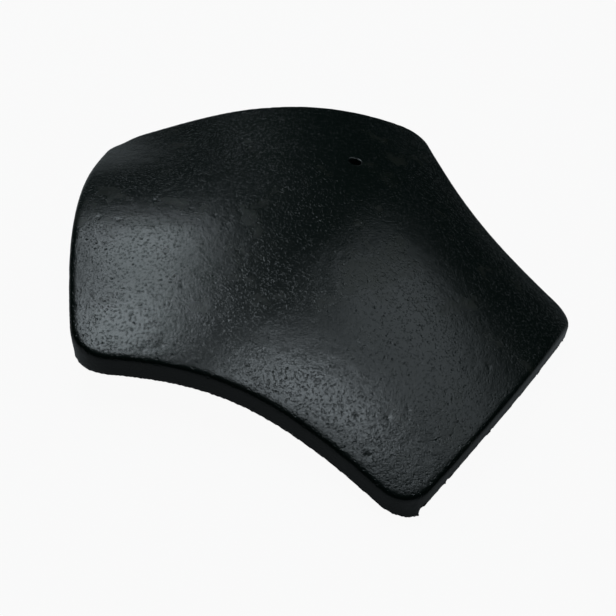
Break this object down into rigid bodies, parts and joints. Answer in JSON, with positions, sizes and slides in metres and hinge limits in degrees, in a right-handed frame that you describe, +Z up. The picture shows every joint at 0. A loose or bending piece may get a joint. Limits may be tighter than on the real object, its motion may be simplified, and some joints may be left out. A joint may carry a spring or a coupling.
{
  "type": "three-way ridge tile",
  "caption": "Black concrete roof tile that caps the corner where two ridges meet a hip, a blended shell of three arched arms.",
  "frame": {"origin": "centre of the bounding box's underside, on the floor that the tile lies on", "axes": "+Z up with the tile lying hollow side down, +X towards the end of the hip arm, the two ridge arms back to either side"},
  "size_m": [0.4034, 0.3964, 0.0715],
  "materials": {
    "black_concrete": "satin"
  },
  "bodies": {
    "root": {"ridge_tile": "black_concrete"}
  },
  "joints": []
}
